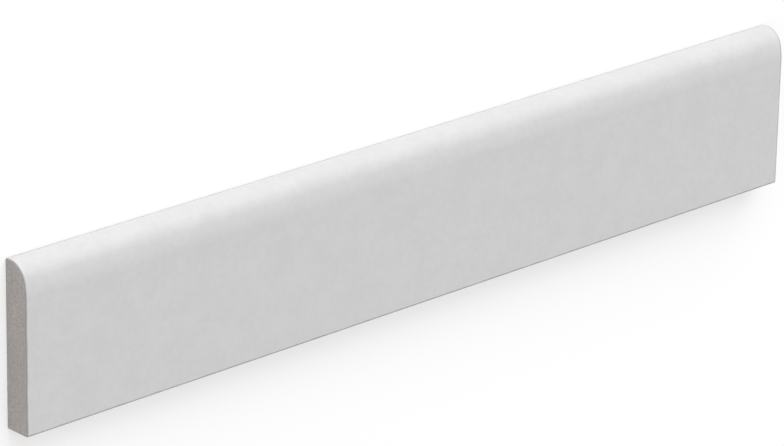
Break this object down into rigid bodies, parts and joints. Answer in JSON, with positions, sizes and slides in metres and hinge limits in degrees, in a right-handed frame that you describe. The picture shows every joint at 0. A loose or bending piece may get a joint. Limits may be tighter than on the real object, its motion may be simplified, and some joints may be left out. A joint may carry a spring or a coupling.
{
  "type": "glazed porcelain bullnose tile",
  "caption": "Long narrow glazed porcelain trim tile with one rounded long edge, used as a skirting or to finish a tiled edge.",
  "frame": {"origin": "middle of the back, on the surface that the tile lies on", "axes": "+X along the tile, +Y towards the rounded edge, +Z out of the glazed face"},
  "size_m": [0.3, 0.05, 0.0085],
  "materials": {
    "glazed_porcelain": "satin light grey glaze on the face and the rounded edge, bare porcelain on the ends, foot and back"
  },
  "bodies": {
    "root": {"bullnose_tile": "glazed_porcelain"}
  },
  "joints": []
}
